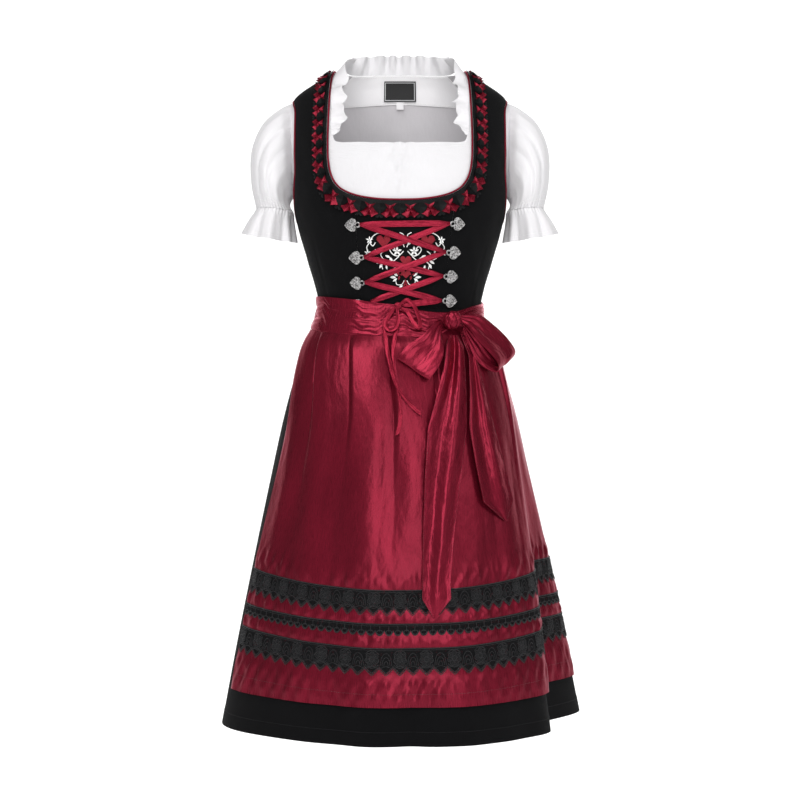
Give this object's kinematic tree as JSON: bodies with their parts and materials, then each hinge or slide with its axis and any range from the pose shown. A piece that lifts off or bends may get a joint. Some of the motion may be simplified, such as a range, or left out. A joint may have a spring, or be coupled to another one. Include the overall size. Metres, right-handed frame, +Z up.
{
  "type": "dirndl",
  "caption": "Dirndl set in its worn shape: white puff-sleeved blouse, black laced bodice with knee-length skirt, and burgundy satin apron with lace bands and a tied bow.",
  "frame": {"origin": "midway between the tops of the two shoulders, where the wearer's shoulders carry the dress", "axes": "+Z up along the body, -Y the front of the garment, +X its side with the apron's bow"},
  "size_m": [0.5825, 0.3997, 1.0808],
  "materials": {
    "black_cotton": "matt woven cotton, black",
    "burgundy_satin": "glossy satin, burgundy",
    "lacing_satin": "narrow satin ribbon, burgundy",
    "white_cotton": "fine crinkled cotton, white",
    "black_lace": "guipure lace, black",
    "black_label": "woven label, black with a plain grey border",
    "filigree_silver": "cast filigree, antique silver"
  },
  "bodies": {
    "root": {"blouse_front": "white_cotton", "blouse_back": "white_cotton", "neck_band": "white_cotton", "label": "black_label", "size_tag": "white_cotton", "sleeve_left": "white_cotton", "cuff_ruffle_left": "white_cotton", "sleeve_right": "white_cotton", "cuff_ruffle_right": "white_cotton", "collar_ruffle": "white_cotton", "bodice_front_left": "black_cotton", "bodice_back_left": "black_cotton", "bodice_front_right": "black_cotton", "bodice_back_right": "black_cotton", "bodice_panel": "black_cotton", "neck_trim_mouths": "black_cotton", "neck_trim_ruffle": "burgundy_satin", "neck_piping": "burgundy_satin", "armhole_piping_left": "burgundy_satin", "armhole_piping_right": "burgundy_satin", "hook_left_1": "filigree_silver", "hook_left_2": "filigree_silver", "hook_left_3": "filigree_silver", "hook_left_4": "filigree_silver", "hook_right_1": "filigree_silver", "hook_right_2": "filigree_silver", "hook_right_3": "filigree_silver", "hook_right_4": "filigree_silver", "skirt_front": "black_cotton", "skirt_back": "black_cotton", "apron_panel": "burgundy_satin", "apron_lace_top": "black_lace", "apron_lace_middle": "black_lace", "apron_lace_bottom": "black_lace", "waist_sash": "burgundy_satin", "bow_knot": "burgundy_satin", "bow_loop_left": "burgundy_satin", "bow_loop_right": "burgundy_satin", "bow_tail_long": "burgundy_satin", "bow_tail_short": "burgundy_satin", "lacing": "lacing_satin", "lacing_bow": "lacing_satin", "lacing_tail_left": "lacing_satin", "lacing_tail_right": "lacing_satin"}
  },
  "joints": []
}
